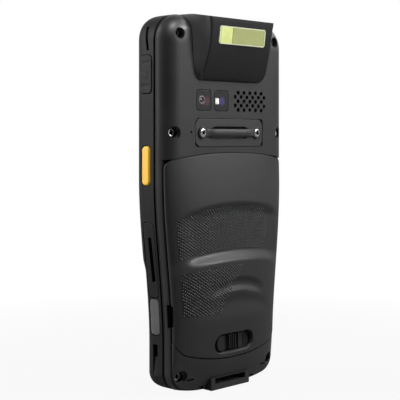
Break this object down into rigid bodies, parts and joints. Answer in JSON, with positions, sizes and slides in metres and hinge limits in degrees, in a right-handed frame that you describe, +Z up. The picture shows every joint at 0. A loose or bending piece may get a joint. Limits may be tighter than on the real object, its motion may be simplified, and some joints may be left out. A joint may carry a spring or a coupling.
{
  "type": "portable barcode data terminal",
  "caption": "Rugged handheld barcode data terminal with a rear scan hood, latched battery cover, side keys, port lids, touch display and number keypad.",
  "frame": {"origin": "centre of the box on the plane of the foot that the device stands on, on the parting plane of the two housings", "axes": "+Z up towards the scan hood, +X towards the side with the card door and the volume rocker, +Y out of the back, -Y out of the display"},
  "size_m": [0.0794, 0.031, 0.167],
  "materials": {
    "shell": "fine matte texture, charcoal",
    "cover_shell": "fine dimpled grip texture, charcoal",
    "hood": "smooth satin, near black",
    "cover_glass": "polished, black border",
    "display": "dark panel, switched off",
    "frame_metal": "pressed sheet",
    "board": "solder mask",
    "mat": "moulded domes",
    "scan_filter": "dark red filter",
    "black_trim": "satin black",
    "label": "printed film, yellow green with a pale border",
    "black_lens": "polished black",
    "lens_ring": "satin ring",
    "led": "white diffuser",
    "inlay": "satin black",
    "bar": "semi gloss black",
    "bright_steel": "bright pan head",
    "dark_steel": "blackened",
    "battery": "satin wrap, blank",
    "gold": "gold plated",
    "orange_key": "yellow orange, satin",
    "key_rubber": "satin dark grey",
    "flex": "amber film",
    "door_rubber": "matte charcoal"
  },
  "bodies": {
    "housing": {"front_housing": "shell", "rear_housing": "shell", "touch_glass": "cover_glass", "display_module": "display", "earpiece": "black_trim", "mid_frame": "frame_metal", "main_board": "board", "keypad_board": "board", "keypad_mat": "mat", "scan_hood": "hood", "scan_window": "scan_filter", "scan_engine": "black_trim", "label_plate": "label", "camera_window": "black_lens", "camera_module": "lens_ring", "flash_window": "black_lens", "flash_led": "led", "speaker": "black_trim", "strap_inlay": "inlay", "strap_bar": "bar", "strap_screws": "bright_steel", "housing_screws": "dark_steel", "battery_pack": "battery", "battery_contacts": "gold", "side_switches": "flex", "card_reader": "frame_metal", "usb_port": "frame_metal", "dock_contacts": "gold"},
    "cover": {"battery_cover": "cover_shell"},
    "latch": {"battery_latch": "black_trim"},
    "right_scan_key": {"scan_key_right": "orange_key"},
    "left_scan_key": {"scan_key_left": "orange_key"},
    "rocker": {"volume_rocker": "key_rubber"},
    "door": {"card_door": "door_rubber"},
    "plug": {"usb_cover": "door_rubber"},
    "key_scan_body": {"key_scan": "orange_key"},
    "key_left_body": {"key_left": "key_rubber"},
    "key_right_body": {"key_right": "key_rubber"},
    "key_r1c1_body": {"key_r1c1": "key_rubber"},
    "key_r1c2_body": {"key_r1c2": "key_rubber"},
    "key_r1c3_body": {"key_r1c3": "key_rubber"},
    "key_r2c1_body": {"key_r2c1": "key_rubber"},
    "key_r2c2_body": {"key_r2c2": "key_rubber"},
    "key_r2c3_body": {"key_r2c3": "key_rubber"},
    "key_r3c1_body": {"key_r3c1": "key_rubber"},
    "key_r3c2_body": {"key_r3c2": "key_rubber"},
    "key_r3c3_body": {"key_r3c3": "key_rubber"},
    "key_r4c1_body": {"key_r4c1": "key_rubber"},
    "key_r4c2_body": {"key_r4c2": "key_rubber"},
    "key_r4c3_body": {"key_r4c3": "key_rubber"}
  },
  "joints": [
    {"name": "cover_hinge", "type": "hinge", "parent": "housing", "child": "cover", "pos_m": [0, 0.0079, 0.1062], "axis": [1, 0, 0], "range_deg": [0, 50]},
    {"name": "latch_slide", "type": "slide", "parent": "cover", "child": "latch", "axis": [-1, 0, 0], "range_m": [0, 0.004]},
    {"name": "scan_right_press", "type": "slide", "parent": "housing", "child": "right_scan_key", "axis": [-1, 0, 0], "range_m": [0, 0.0006], "stiffness_N_per_m": 900},
    {"name": "scan_left_press", "type": "slide", "parent": "housing", "child": "left_scan_key", "axis": [1, 0, 0], "range_m": [0, 0.0006], "stiffness_N_per_m": 900},
    {"name": "rocker_tilt", "type": "hinge", "parent": "housing", "child": "rocker", "pos_m": [0.0374, -0.0064, 0.1404], "axis": [0, 1, 0], "range_deg": [-2, 2], "stiffness_Nm_per_rad": 0.3},
    {"name": "card_door_hinge", "type": "hinge", "parent": "housing", "child": "door", "pos_m": [0.0381, -0.0064, 0.0756], "axis": [0, -1, 0], "range_deg": [0, 100]},
    {"name": "port_lid_hinge", "type": "hinge", "parent": "housing", "child": "plug", "pos_m": [0.0337, -0.0064, 0.0261], "axis": [0, 1, 0], "range_deg": [0, 100]},
    {"name": "key_scan_press", "type": "slide", "parent": "housing", "child": "key_scan_body", "axis": [0, 1, 0], "range_m": [0, 0.0005], "stiffness_N_per_m": 500},
    {"name": "key_left_press", "type": "slide", "parent": "housing", "child": "key_left_body", "axis": [0, 1, 0], "range_m": [0, 0.0005], "stiffness_N_per_m": 500},
    {"name": "key_right_press", "type": "slide", "parent": "housing", "child": "key_right_body", "axis": [0, 1, 0], "range_m": [0, 0.0005], "stiffness_N_per_m": 500},
    {"name": "key_r1c1_press", "type": "slide", "parent": "housing", "child": "key_r1c1_body", "axis": [0, 1, 0], "range_m": [0, 0.0005], "stiffness_N_per_m": 500},
    {"name": "key_r1c2_press", "type": "slide", "parent": "housing", "child": "key_r1c2_body", "axis": [0, 1, 0], "range_m": [0, 0.0005], "stiffness_N_per_m": 500},
    {"name": "key_r1c3_press", "type": "slide", "parent": "housing", "child": "key_r1c3_body", "axis": [0, 1, 0], "range_m": [0, 0.0005], "stiffness_N_per_m": 500},
    {"name": "key_r2c1_press", "type": "slide", "parent": "housing", "child": "key_r2c1_body", "axis": [0, 1, 0], "range_m": [0, 0.0005], "stiffness_N_per_m": 500},
    {"name": "key_r2c2_press", "type": "slide", "parent": "housing", "child": "key_r2c2_body", "axis": [0, 1, 0], "range_m": [0, 0.0005], "stiffness_N_per_m": 500},
    {"name": "key_r2c3_press", "type": "slide", "parent": "housing", "child": "key_r2c3_body", "axis": [0, 1, 0], "range_m": [0, 0.0005], "stiffness_N_per_m": 500},
    {"name": "key_r3c1_press", "type": "slide", "parent": "housing", "child": "key_r3c1_body", "axis": [0, 1, 0], "range_m": [0, 0.0005], "stiffness_N_per_m": 500},
    {"name": "key_r3c2_press", "type": "slide", "parent": "housing", "child": "key_r3c2_body", "axis": [0, 1, 0], "range_m": [0, 0.0005], "stiffness_N_per_m": 500},
    {"name": "key_r3c3_press", "type": "slide", "parent": "housing", "child": "key_r3c3_body", "axis": [0, 1, 0], "range_m": [0, 0.0005], "stiffness_N_per_m": 500},
    {"name": "key_r4c1_press", "type": "slide", "parent": "housing", "child": "key_r4c1_body", "axis": [0, 1, 0], "range_m": [0, 0.0005], "stiffness_N_per_m": 500},
    {"name": "key_r4c2_press", "type": "slide", "parent": "housing", "child": "key_r4c2_body", "axis": [0, 1, 0], "range_m": [0, 0.0005], "stiffness_N_per_m": 500},
    {"name": "key_r4c3_press", "type": "slide", "parent": "housing", "child": "key_r4c3_body", "axis": [0, 1, 0], "range_m": [0, 0.0005], "stiffness_N_per_m": 500}
  ]
}
